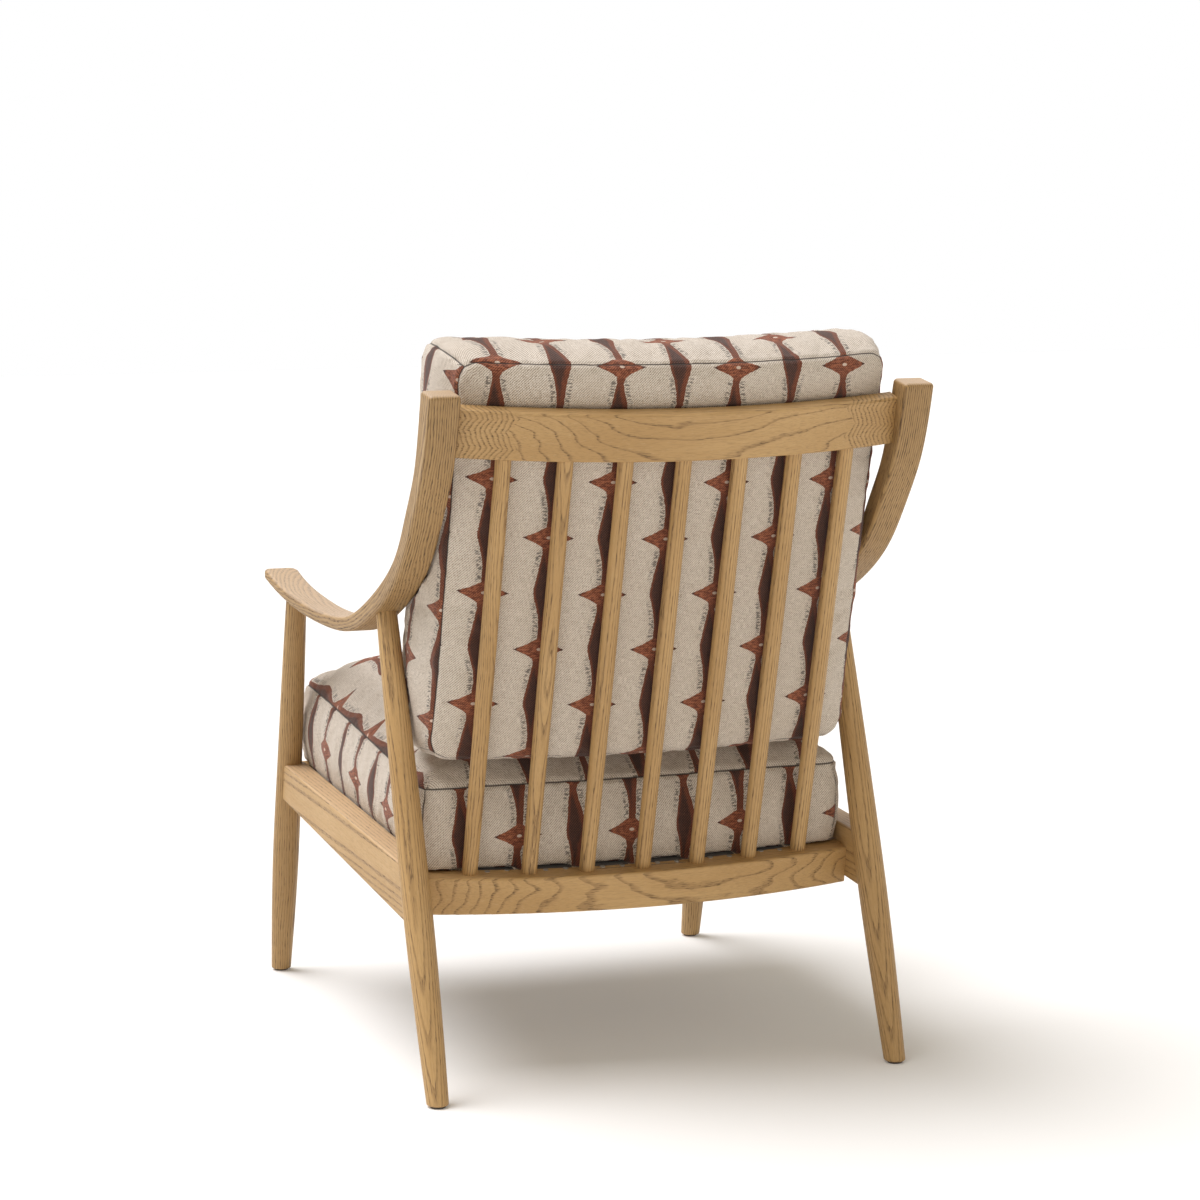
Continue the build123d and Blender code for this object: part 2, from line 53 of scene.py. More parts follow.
# ------------------------------------------------------------ node helpers
class Mat:
    """A Principled material with short calls for the nodes that feed it."""

    def __init__(self, name):
        self.m = bpy.data.materials.new(name)
        self.m.use_nodes = True
        self.t = self.m.node_tree
        self.t.nodes.clear()
        out = self.add("ShaderNodeOutputMaterial")
        self.bsdf = self.add("ShaderNodeBsdfPrincipled")
        self.t.links.new(self.bsdf.outputs[0], out.inputs[0])

    def add(self, kind, **props):
        n = self.t.nodes.new(kind)
        for key, value in props.items():
            setattr(n, key, value)
        return n

    def put(self, socket, value):
        if isinstance(value, bpy.types.NodeSocket):
            self.t.links.new(value, socket)
        elif value is not None:
            socket.default_value = value

    def scaled(self, *parts):
        """A vector whose coordinates are each a (value, factor) pair or a plain number."""
        return self.vec(*[self.f("MULTIPLY", *part) if isinstance(part, tuple) else part for part in parts])

    def f(self, op, a, b=None, c=None, clamp=False):
        n = self.add("ShaderNodeMath", operation=op, use_clamp=clamp)
        for i, v in enumerate((a, b, c)):
            self.put(n.inputs[i], v)
        return n.outputs[0]

    def step(self, x, lo, hi, a=0.0, b=1.0):
        n = self.add("ShaderNodeMapRange", interpolation_type="SMOOTHSTEP")
        for i, v in enumerate((x, lo, hi, a, b)):
            self.put(n.inputs[i], v)
        return n.outputs[0]

    def line(self, x, lo, hi, a=0.0, b=1.0):
        n = self.add("ShaderNodeMapRange", interpolation_type="LINEAR")
        for i, v in enumerate((x, lo, hi, a, b)):
            self.put(n.inputs[i], v)
        return n.outputs[0]

    def curve(self, x, points):
        n = self.add("ShaderNodeFloatCurve")
        c = n.mapping.curves[0]
        n.mapping.use_clip = True
        c.points[0].location = points[0]
        c.points[1].location = points[-1]
        for p in points[1:-1]:
            c.points.new(*p)
        for p in c.points:
            p.handle_type = "VECTOR"
        n.mapping.update()
        self.put(n.inputs["Value"], x)
        return n.outputs[0]

    def noise(self, vec, scale=1.0, detail=2.0, rough=0.5, warp=0.0):
        n = self.add("ShaderNodeTexNoise", noise_dimensions="3D")
        self.put(n.inputs["Vector"], vec)
        n.inputs["Scale"].default_value = scale
        n.inputs["Detail"].default_value = detail
        n.inputs["Roughness"].default_value = rough
        n.inputs["Distortion"].default_value = warp
        return n.outputs[0]

    def cells(self, vec, scale=1.0):
        n = self.add("ShaderNodeTexVoronoi", feature="F1")
        self.put(n.inputs["Vector"], vec)
        n.inputs["Scale"].default_value = scale
        return n.outputs[0]

    def mix(self, fac, a, b):
        n = self.add("ShaderNodeMix", data_type="RGBA")
        self.put(n.inputs[0], fac)
        for s, v in ((n.inputs[6], a), (n.inputs[7], b)):
            self.put(s, (*v, 1.0) if isinstance(v, tuple) and len(v) == 3 else v)
        return n.outputs[2]

    def xyz(self, vec):
        n = self.add("ShaderNodeSeparateXYZ")
        self.put(n.inputs[0], vec)
        return n.outputs[0], n.outputs[1], n.outputs[2]

    def vec(self, x, y, z=0.0):
        n = self.add("ShaderNodeCombineXYZ")
        for s, v in zip(n.inputs, (x, y, z)):
            self.put(s, v)
        return n.outputs[0]

    def dot(self, vec, d):
        n = self.add("ShaderNodeVectorMath", operation="DOT_PRODUCT")
        self.put(n.inputs[0], vec)
        n.inputs[1].default_value = d
        return n.outputs["Value"]

    def place(self):
        return self.add("ShaderNodeTexCoord").outputs["Object"]

    def uv(self, name):
        return self.add("ShaderNodeUVMap", uv_map=name).outputs[0]

    def bump(self, height, strength, distance, normal=None):
        n = self.add("ShaderNodeBump")
        self.put(n.inputs["Height"], height)
        n.inputs["Strength"].default_value = strength
        n.inputs["Distance"].default_value = distance
        self.put(n.inputs["Normal"], normal)
        return n.outputs[0]

    def finish(self, colour, rough, normal=None, **values):
        self.put(self.bsdf.inputs["Base Color"], colour)
        self.put(self.bsdf.inputs["Roughness"], rough)
        self.put(self.bsdf.inputs["Normal"], normal)
        for key, value in values.items():
            self.bsdf.inputs[key.replace("_", " ")].default_value = value
        return self.m


# -------------------------------------------------------------------- oak
# The grain runs along the first grain coordinate; growth rings are circles
# round a pith line that is nearly parallel to it, so flat faces that cut them
# at a shallow angle show nested arches and the others show straight lines.
def straight(g, along, centre):
    p = g.place()
    a = Vector(along).normalized()
    side = Vector((1, 0, 0)) if abs(a.x) < 0.9 else Vector((0, 0, 1))
    b = (side - a * side.dot(a)).normalized()
    c = a.cross(b)
    o = Vector(centre)
    return [g.f("SUBTRACT", g.dot(p, v[:]), v.dot(o)) for v in (a, b, c)]


def swept(g, yc, zc, radius, most):
    """Grain that follows the bent arm: straight, round an arc about (yc, zc), then straight."""
    x, y, z = g.xyz(g.place())
    v = g.f("SUBTRACT", y, yc)
    w = g.f("SUBTRACT", zc, z)
    turn = g.f("MINIMUM", g.f("MAXIMUM", g.f("ARCTAN2", v, w), 0.0), most)
    co = g.f("COSINE", turn)
    si = g.f("SINE", turn)
    run = g.f("SUBTRACT", g.f("MULTIPLY", v, co), g.f("MULTIPLY", w, si))
    run = g.f("ADD", run, g.f("MULTIPLY", turn, radius))
    out = g.f("ADD", g.f("MULTIPLY", v, si), g.f("MULTIPLY", w, co))
    return [run, x, g.f("SUBTRACT", out, radius)]


def oak(name, grain, seed, pith=(0.03, 0.05), slope=0.02, ring=0.0042, wave=0.004, tone=0.0, ends=None,
        thin=0.5, depth=1.0, painted_top_light=0.0):
    """ring is the spacing of the rings, thin and depth their width and strength, ends where chevrons begin,
    and the last argument how much paler the faces that look up are painted, as painted light from above."""
    g = Mat(name)
    a, b, c = grain(g)
    a = g.f("ADD", a, seed * 1.37)
    soft = g.noise(g.scaled((a, 3.5), (b, 16.0), (c, 16.0)), 1.0, 2.0)
    fine = g.noise(g.scaled((a, 22.0), (b, 70.0), (c, 70.0)), 1.0, 2.0)
    sway = g.f("MULTIPLY", g.f("SUBTRACT", soft, 0.5), wave * 4)
    sway = g.f("ADD", sway, g.f("MULTIPLY", g.f("SUBTRACT", fine, 0.5), wave * 0.45))
    lean = g.f("MULTIPLY", g.f("SUBTRACT", a, seed * 1.37), slope)
    db = g.f("ADD", g.f("SUBTRACT", b, pith[0]), sway)
    dc = g.f("ADD", g.f("SUBTRACT", c, pith[1]), lean)
    r = g.f("SQRT", g.f("ADD", g.f("MULTIPLY", db, db), g.f("MULTIPLY", dc, dc)))
    turns = g.f("DIVIDE", g.f("ADD", r, sway), ring)
    phase = g.f("FRACT", turns)
    early = g.f("MULTIPLY", g.step(phase, 0.0, 0.06), g.step(phase, thin * 0.28, thin, 1.0, 0.0))
    if ends:
        x, _, z = g.xyz(g.place())
        far = g.f("ABSOLUTE", x)
        jag = g.f("PINGPONG", g.f("ADD", z, g.f("MULTIPLY", soft, 0.03)), 0.0165)
        bend = g.f("ADD", g.f("MULTIPLY", jag, 0.55), g.f("MULTIPLY", fine, 0.009))
        chev = g.f("DIVIDE", g.f("ADD", far, bend), 0.0061)
        cp = g.f("FRACT", chev)
        lines = g.f("MULTIPLY", g.step(cp, 0.0, 0.14), g.step(cp, 0.2, 0.62, 1.0, 0.0))
        edge = g.f("ADD", far, g.f("MULTIPLY", jag, 0.9))
        zone = g.step(edge, ends - 0.001, ends + 0.001)
        plain = early
        early = g.add("ShaderNodeMix", data_type="FLOAT")
        g.put(early.inputs[0], zone)
        g.put(early.inputs[2], plain)
        g.put(early.inputs[3], lines)
        early = early.outputs[0]
    fibre = g.noise(g.scaled((a, 14.0), (b, 420.0), (c, 420.0)), 1.0, 3.0, 0.6)
    pore = g.noise(g.scaled((a, 75.0), (b, 1050.0), (c, 1050.0)), 1.0, 1.0)
    pores = g.f("MULTIPLY", g.step(pore, 0.5, 0.66), g.f("MULTIPLY_ADD", early, 0.85, 0.2))
    ray = g.noise(g.scaled((a, 120.0), (b, 500.0), (c, 90.0)), 1.0, 1.0)
    k = 1.0 + tone
    light = (0.61 * k, 0.39 * k, 0.17 * k)
    mid = (0.5 * k, 0.3 * k, 0.115 * k)
    dark = (0.27 * k, 0.15 * k, 0.058 * k)
    colour = g.mix(g.step(soft, 0.25, 0.75), light, mid)
    colour = g.mix(g.f("MULTIPLY", g.step(fibre, 0.35, 0.75), 0.45), colour, mid)
    colour = g.mix(g.f("MULTIPLY", g.step(ray, 0.6, 0.75), 0.2), colour, (0.66 * k, 0.46 * k, 0.25 * k))
    colour = g.mix(g.f("MULTIPLY", early, 0.5 * depth, clamp=True), colour, dark)
    colour = g.mix(g.f("MULTIPLY", pores, 0.8 * depth, clamp=True), colour, (0.13 * k, 0.075 * k, 0.034 * k))
    # painted light: faces that look up are mixed towards a pale colour, standing in for the light that falls
    # on them from above
    if painted_top_light:
        face = g.add("ShaderNodeNewGeometry").outputs["Normal"]
        up = g.step(g.xyz(face)[2], 0.35, 0.9)
        colour = g.mix(g.f("MULTIPLY", up, painted_top_light), colour, (0.74, 0.575, 0.43))
    relief = g.f("ADD", g.f("MULTIPLY", pores, -1.0), g.f("MULTIPLY", fibre, 0.25))
    normal = g.bump(relief, 0.35, 0.0006)
    rough = g.f("ADD", g.line(fibre, 0.2, 0.8, 0.42, 0.56), g.f("MULTIPLY", pores, 0.2))
    return g.finish(colour, rough, normal, Specular_IOR_Level=0.4)


tilt_back = math.radians(15)
back_up = Vector((0, math.sin(tilt_back), math.cos(tilt_back)))
rear_up = Vector((0, -math.sin(math.radians(19.69)), math.cos(math.radians(19.69))))
front_up = Vector((0, math.sin(math.radians(11.5)), math.cos(math.radians(11.5))))


def centre(node):
    lo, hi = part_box(node)
    return (lo + hi) / 2


def assign(node, material):
    obj = nodes[node]
    obj.data.materials.clear()
    obj.data.materials.append(material)


for i, side in enumerate(("left", "right")):
    x = centre(side + "_rear_leg").x
    arm = oak("oak_arm_" + side, lambda g: swept(g, REAR - 0.378, 0.945, 0.395, 1.27), 3.1 + i,
              pith=(x + (0.035 if i else -0.035), 0.055), slope=0.012, ring=0.0027, wave=0.003, tone=-0.25,
              thin=0.75, depth=1.25, painted_top_light=0.36)
    assign(side + "_arm_post", arm)
    foot = Vector(feet["foot_rear_" + side])
    assign(side + "_rear_leg", oak("oak_rear_leg_" + side, lambda g: straight(g, rear_up, foot), 5.3 + i,
           pith=(0.02, 0.045), slope=0.03, ring=0.0034, tone=-0.08))
    fore = Vector(feet["foot_front_" + side])
    # painted shade: the front legs are given a darker tone for the shade they stand in under the seat
    assign(side + "_front_leg", oak("oak_front_leg_" + side, lambda g: straight(g, front_up, fore), 7.7 + i,
           pith=(-0.03, 0.03), slope=0.02, ring=0.0034, tone=-0.18))
    rail = centre(side + "_side_rail")
    assign(side + "_side_rail", oak(
        "oak_side_rail_" + side, lambda g: straight(g, (0, -1, 0.055), rail), 9.2 + i,
        pith=(0.06, 0.008), slope=0.05, ring=0.005, wave=0.006, tone=-0.1, painted_top_light=0.25))
    for place in ("front", "rear"):
        block = side + "_" + place + "_corner_block"
        assign(block, oak("oak_" + place + "_block_" + side,
                          lambda g, n=block: straight(g, (1, 0.9, 0), centre(n)), 11 + i,
               pith=(0.03, 0.03)))
crest = centre("crest_rail")
assign("crest_rail", oak("oak_crest", lambda g: straight(g, (1, 0, 0), crest), 2.0,
       pith=(-0.012, 0.075), slope=0.05,
       ring=0.0062, wave=0.007, tone=-0.1, ends=0.222, thin=0.22,
       depth=1.1))
low = centre("lower_back_rail")
assign("lower_back_rail", oak("oak_low_rail", lambda g: straight(g, (1, 0, 0), low), 4.0,
       pith=(0.004, 0.07), slope=0.06,
       ring=0.0048, wave=0.007, tone=-0.02, thin=0.34))
assign("front_rail", oak("oak_front_rail", lambda g: straight(g, (1, 0, 0), centre("front_rail")), 6.0,
       pith=(0.01, -0.05),
       slope=0.03, ring=0.004))
spindle = oak("oak_spindle", lambda g: straight(g, back_up, centre("spindle_4")), 8.0,
              pith=(0.15, 0.05), slope=0.02,
              ring=0.0032, tone=-0.05)
for i in range(7):
    assign(f"spindle_{i + 1}", spindle)
dowel = oak("oak_dowel", lambda g: straight(g, (1, 0, 0), crest), 12.0, pith=(0.01, 0.01))
assign("crest_dowels", dowel)
assign("lower_rail_dowels", dowel)


# --------------------------------------------------- webbing, metal, plastic
def webbing(name, along):
    g = Mat(name)
    x, y, _ = g.xyz(g.place())
    u, v = (x, y) if along == "y" else (y, x)
    ribs = g.f("SINE", g.f("MULTIPLY", u, 2 * math.pi / 0.0042))
    pick = g.f("SINE", g.f("MULTIPLY_ADD", v, 2 * math.pi / 0.0021,
                           g.f("MULTIPLY", g.f("SIGN", ribs), 1.5708)))
    weave = g.f("MULTIPLY", g.f("ABSOLUTE", ribs), g.f("MULTIPLY_ADD", pick, 0.3, 0.7))
    lint = g.noise(g.scaled((u, 900.0), (v, 260.0), 0.0), 1.0, 2.0)
    colour = g.mix(g.step(weave, 0.1, 0.9), (0.016, 0.014, 0.012), (0.075, 0.065, 0.055))
    colour = g.mix(g.f("MULTIPLY", g.step(lint, 0.55, 0.75), 0.35), colour, (0.16, 0.14, 0.12))
    return g.finish(colour, g.line(lint, 0.2, 0.8, 0.75, 0.95), g.bump(weave, 0.6, 0.0009), Sheen_Weight=0.2)


long_web = webbing("elastic_webbing_long", "y")
cross_web = webbing("elastic_webbing_cross", "x")
for i in range(6):
    assign(f"webbing_strap_{i + 1}", long_web)
assign("webbing_cross_1", cross_web)
assign("webbing_cross_2", cross_web)

g = Mat("zinc_steel")
p = g.place()
cloud = g.noise(p, 420.0, 3.0)
scratch = g.noise(g.scaled((g.xyz(p)[0], 4000.0), (g.xyz(p)[1], 300.0), 0.0), 1.0, 2.0)
steel = g.finish(g.mix(cloud, (0.42, 0.41, 0.38), (0.66, 0.65, 0.62)), g.line(scratch, 0.2, 0.8, 0.25, 0.5),
                 g.bump(scratch, 0.15, 0.0002), Metallic=1.0)
assign("webbing_tacks", steel)
assign("block_screws", steel)

g = Mat("glide_plastic")
p = g.place()
grit = g.noise(p, 1800.0, 3.0)
scuff = g.noise(p, 160.0, 4.0, 0.7)
plastic = g.finish(g.mix(g.step(scuff, 0.45, 0.75), (0.05, 0.038, 0.03), (0.14, 0.11, 0.085)),
                   g.line(grit, 0.3, 0.7, 0.5, 0.75), g.bump(grit, 0.3, 0.0003))
assign("foot_glides", plastic)

g = Mat("seat_foam")
p = g.place()
pores = g.cells(p, 900.0)
big = g.noise(p, 60.0, 3.0)
foam = g.finish(g.mix(g.step(pores, 0.1, 0.6), (0.42, 0.37, 0.25), (0.86, 0.82, 0.68)),
                g.line(big, 0.2, 0.8, 0.85, 1.0),
                g.bump(pores, 0.7, 0.0012))
assign("seat_cushion_core", foam)
assign("back_cushion_core", foam)


# ------------------------------------------------------------ cover fabric
# Linen twill with a woven ikat stripe. The first fabric coordinate runs
# across the stripes and the second along them, both in metres.
PITCH = 0.0729
REPEAT = 0.1458


def cover(name):
    g = Mat(name)
    p, q, _ = g.xyz(g.uv("cloth"))
    seam_u, seam_v, _ = g.xyz(g.uv("seam"))
    drift = g.noise(g.scaled((p, 18.0), (q, 18.0), 0.3), 1.0, 2.0)
    ps = g.f("ADD", p, g.f("MULTIPLY", g.f("SUBTRACT", drift, 0.5), 0.0022))
    k = g.f("FLOOR", g.f("MULTIPLY_ADD", ps, 1 / PITCH, 0.5))
    a = g.f("MULTIPLY", g.f("SUBTRACT", ps, g.f("MULTIPLY", k, PITCH)), 1000.0)
    odd = g.f("FLOORED_MODULO", k, 2.0)
    w = g.f("FRACT", g.f("ADD", g.f("DIVIDE", q, -REPEAT), g.f("MULTIPLY", odd, 0.5)))
    left = g.curve(w, [(0, 1), (0.02, 0.79), (0.045, 0.52), (0.07, 0.31), (0.092, 0.17),
                       (0.14, 0.1), (0.22, 0.17), (0.3, 0.28),
                       (0.4, 0.39), (0.47, 0.45), (0.5, 0.43), (0.6, 0.31), (0.68, 0.25), (0.8, 0.21),
                       (0.905, 0.19), (0.93, 0.31),
                       (0.957, 0.52), (0.98, 0.79), (1, 1)])
    right = g.curve(w, [(0, 1), (0.02, 0.79), (0.045, 0.52), (0.07, 0.31), (0.09, 0.2),
                        (0.14, 0.18), (0.25, 0.26), (0.4, 0.36),
                        (0.47, 0.41), (0.52, 0.39), (0.6, 0.27), (0.7, 0.15), (0.8, 0.09),
                        (0.905, 0.1), (0.93, 0.31),
                        (0.957, 0.52), (0.98, 0.79), (1, 1)])
    rag = g.noise(g.scaled((p, 260.0), (q, 620.0), 0.7), 1.0, 2.0, 0.6)
    rag = g.f("MULTIPLY", g.f("SUBTRACT", rag, 0.5), 3.0)
    dl = g.f("ADD", g.f("MULTIPLY_ADD", left, 31.0, a), rag)
    dr = g.f("ADD", g.f("SUBTRACT", g.f("MULTIPLY", right, 31.0), a), rag)
    inner = g.f("MINIMUM", dl, dr)
    inside = g.step(inner, -0.25, 0.35)
    near = g.f("MINIMUM", w, g.f("SUBTRACT", 1.0, w))
    gem = g.step(near, 0.075, 0.12, 1.0, 0.0)

    # linen ground: twill lines, slubs in both thread directions, dark flecks
    warp = g.noise(g.scaled((p, 1500.0), (q, 90.0), 0.0), 1.0, 2.0)
    weft = g.noise(g.scaled((p, 90.0), (q, 1500.0), 4.0), 1.0, 2.0)
    cell = 2 * math.pi / 0.0031
    d1 = g.f("SINE", g.f("MULTIPLY", g.f("ADD", p, g.f("MULTIPLY", q, 0.9)), cell))
    d2 = g.f("SINE", g.f("MULTIPLY", g.f("SUBTRACT", p, q), cell * 0.92))
    twill = g.f("ADD", g.f("MULTIPLY", d1, 0.55), g.f("MULTIPLY", g.f("MULTIPLY", d1, d2), 0.45))
    slub = g.f("ADD", g.f("SUBTRACT", warp, 0.5), g.f("SUBTRACT", weft, 0.5))
    thread = g.f("ADD", g.f("MULTIPLY", twill, 0.95), g.f("MULTIPLY", slub, 1.6))
    cloud = g.noise(g.scaled((p, 14.0), (q, 14.0), 9.0), 1.0, 2.0)
    ground = g.mix(g.step(thread, -0.85, 0.2), (0.26, 0.2, 0.145), (0.71, 0.625, 0.53))
    ground = g.mix(g.f("MULTIPLY", g.step(thread, 0.2, 0.9), 0.8), ground, (0.9, 0.84, 0.765))
    ground = g.mix(g.f("MULTIPLY", g.step(cloud, 0.3, 0.75), 0.14), ground, (0.56, 0.455, 0.35))

    # short dark dashes that feather out from the narrow parts of a stripe
    outer = g.f("MULTIPLY", inner, -1.0)
    brush = g.noise(g.scaled((p, 150.0), (q, 450.0), 2.0), 1.0, 1.0)
    reach = g.f("MULTIPLY", g.step(outer, 0.2, 1.2), g.step(outer, 5.2, 7.8, 1.0, 0.0))
    part = g.curve(w, [(0, 0), (0.09, 0), (0.14, 1), (0.3, 0.75), (0.42, 0),
                       (0.54, 0), (0.62, 0.8), (0.88, 1), (0.93, 0), (1, 0)])
    dash = g.f("MULTIPLY", g.f("MULTIPLY", reach, part), g.step(brush, 0.48, 0.55))
    colour = g.mix(g.f("MULTIPLY", dash, 0.78), ground, (0.055, 0.045, 0.04))

    # the stripe: rust sides round a near-black core, redder in the diamonds
    core = g.f("MULTIPLY", g.step(g.f("ADD", dl, g.f("MULTIPLY", rag, 0.8)), 4.2, 8.0), g.step(dr, 1.0, 4.5))
    core = g.f("MULTIPLY", core, g.step(near, 0.1, 0.2))
    speck = g.f("ADD", g.f("MULTIPLY", thread, 0.6), 0.5)
    rust = g.mix(g.step(speck, 0.1, 1.0), (0.085, 0.022, 0.011), (0.27, 0.085, 0.04))
    black = g.mix(g.step(speck, 0.3, 1.1), (0.04, 0.017, 0.012), (0.15, 0.06, 0.038))
    red = g.mix(g.step(g.f("ADD", thread, g.f("MULTIPLY", g.f("SUBTRACT", brush, 0.5), 4.0)), -0.5, 0.8),
                (0.13, 0.037, 0.018), (0.4, 0.135, 0.066))
    stripe = g.mix(core, rust, black)
    stripe = g.mix(gem, stripe, red)
    along = g.f("MULTIPLY", g.f("SUBTRACT", g.f("FRACT", g.f("ADD", w, 0.5)), 0.5), REPEAT * 1000)
    stripe = g.mix(g.step(g.f("ABSOLUTE", a), 24.0, 28.0), stripe, (0.07, 0.026, 0.018))
    ex = g.f("DIVIDE", g.f("ADD", a, 1.0), 3.2)
    ey = g.f("DIVIDE", along, 2.0)
    eye = g.step(g.f("ADD", g.f("MULTIPLY", ex, ex), g.f("MULTIPLY", ey, ey)), 0.7, 1.15, 1.0, 0.0)
    stripe = g.mix(eye, stripe, (0.66, 0.52, 0.42))
    colour = g.mix(inside, colour, stripe)

    # seams: a thin dark line painted along each seam as the shade in its crease, with the cloth pulled in
    # beside it
    gap = g.f("MINIMUM", seam_u, seam_v)
    seam_groove_and_shade = g.step(gap, 0.0004, 0.0015, 1.0, 0.0)
    colour = g.mix(g.f("MULTIPLY", seam_groove_and_shade, 0.86), colour, (0.03, 0.022, 0.018))
    pull = g.noise(g.scaled((p, 120.0), (q, 120.0), 5.0), 1.0, 2.0)
    pucker = g.f("MULTIPLY", g.f("SUBTRACT", pull, 0.5), g.step(gap, 0.001, 0.016, 1.0, 0.0))
    crumple = g.noise(g.scaled((p, 26.0), (q, 26.0), 7.0), 1.0, 4.0, 0.55)
    normal = g.bump(g.f("ADD", g.f("MULTIPLY", crumple, 1.0), g.f("MULTIPLY", pucker, 0.7)), 0.5, 0.004)
    normal = g.bump(g.f("SUBTRACT", thread, g.f("MULTIPLY", seam_groove_and_shade, 2.0)), 0.5, 0.00055, normal)
    return g.finish(colour, g.line(slub, -0.4, 0.4, 0.8, 0.98), normal,
                    Sheen_Weight=0.15, Sheen_Roughness=0.6,
                    Specular_IOR_Level=0.25)


fabric = cover("ikat_linen")


# ---------------------------------------------------------------- cushions
class Seat:
    """The seat cushion's own frame: x across, y from the rear edge, h up from the webbing."""

    s, c = math.sin(math.radians(5.2)), math.cos(math.radians(5.2))
    origin = np.array([0, REAR - 0.139, 0.257])
    X = np.array([1.0, 0, 0])
    Y = np.array([0, c, -s])
    Z = np.array([0, s, c])

    @classmethod
    def out(cls, x, y, h):
        return (cls.origin + np.multiply.outer(x, cls.X) + np.multiply.outer(y, cls.Y)
                + np.multiply.outer(h, cls.Z))

    @classmethod
    def back(cls, co):
        q = co - cls.origin
        return q @ cls.X, q @ cls.Y, q @ cls.Z


class Back:
    """The back cushion's frame: a round the bow, t up the rake, d out through its thickness."""

    bow = 1.07
    gap = 0.0759
    mid = bow - gap
    low = np.array([0, REAR - 0.1054, 0.251])
    up = np.array(back_up)
    n = np.array([0, math.cos(tilt_back), -math.sin(tilt_back)])
    top = np.array([0, REAR + 0.045, 0.891])
    top_n = np.array([0, math.sin(math.radians(8)), math.cos(math.radians(8))])
    under = 0.1434

    @classmethod
    def out(cls, a, w, d, lift=0.0):
        """a runs straight across, w from 0 on the seat to 1 at the top."""
        rho = cls.mid + d
        turn = np.arcsin(a / rho)
        base = (cls.low + np.multiply.outer(-cls.bow + rho * np.cos(turn), cls.n)
                + np.multiply.outer(rho * np.sin(turn), np.array([1.0, 0, 0])))
        lo = (cls.under - (base - Seat.origin) @ Seat.Z) / (cls.up @ Seat.Z)
        hi = ((cls.top - base) @ cls.top_n + lift) / (cls.up @ cls.top_n)
        return base + np.multiply.outer(lo + (hi - lo) * w, cls.up)

    @classmethod
    def spindle_depth(cls, co):
        """Distance behind the bowed surface on which the spindles stand; negative in front of it."""
        q = co - cls.low
        return np.hypot(q @ cls.n + cls.bow, q[..., 0]) - cls.bow


def rounded_grid(hw, hh, r, step):
    k = max(3, round(r / step * 1.2))

    def axis(h):
        m = max(2, round(2 * (h - r) / step))
        return np.concatenate([np.linspace(-h, r - h, k + 1), np.linspace(r - h, h - r, m + 1)[1:],
                               np.linspace(h - r, h, k + 1)[1:]])

    px, py = np.meshgrid(axis(hw), axis(hh), indexing="ij")
    cx, cy = np.clip(px, r - hw, hw - r), np.clip(py, r - hh, hh - r)
    a, b = px - cx, py - cy
    size = np.hypot(a, b)
    s = np.where(size > 0, np.maximum(abs(a), abs(b)) / np.maximum(size, 1e-9), 1.0)
    return cx + a * s, cy + b * s


def inset(px, py, hw, hh, r):
    qx, qy = abs(px) - (hw - r), abs(py) - (hh - r)
    return r - np.hypot(np.maximum(qx, 0), np.maximum(qy, 0)) - np.minimum(np.maximum(qx, qy), 0)


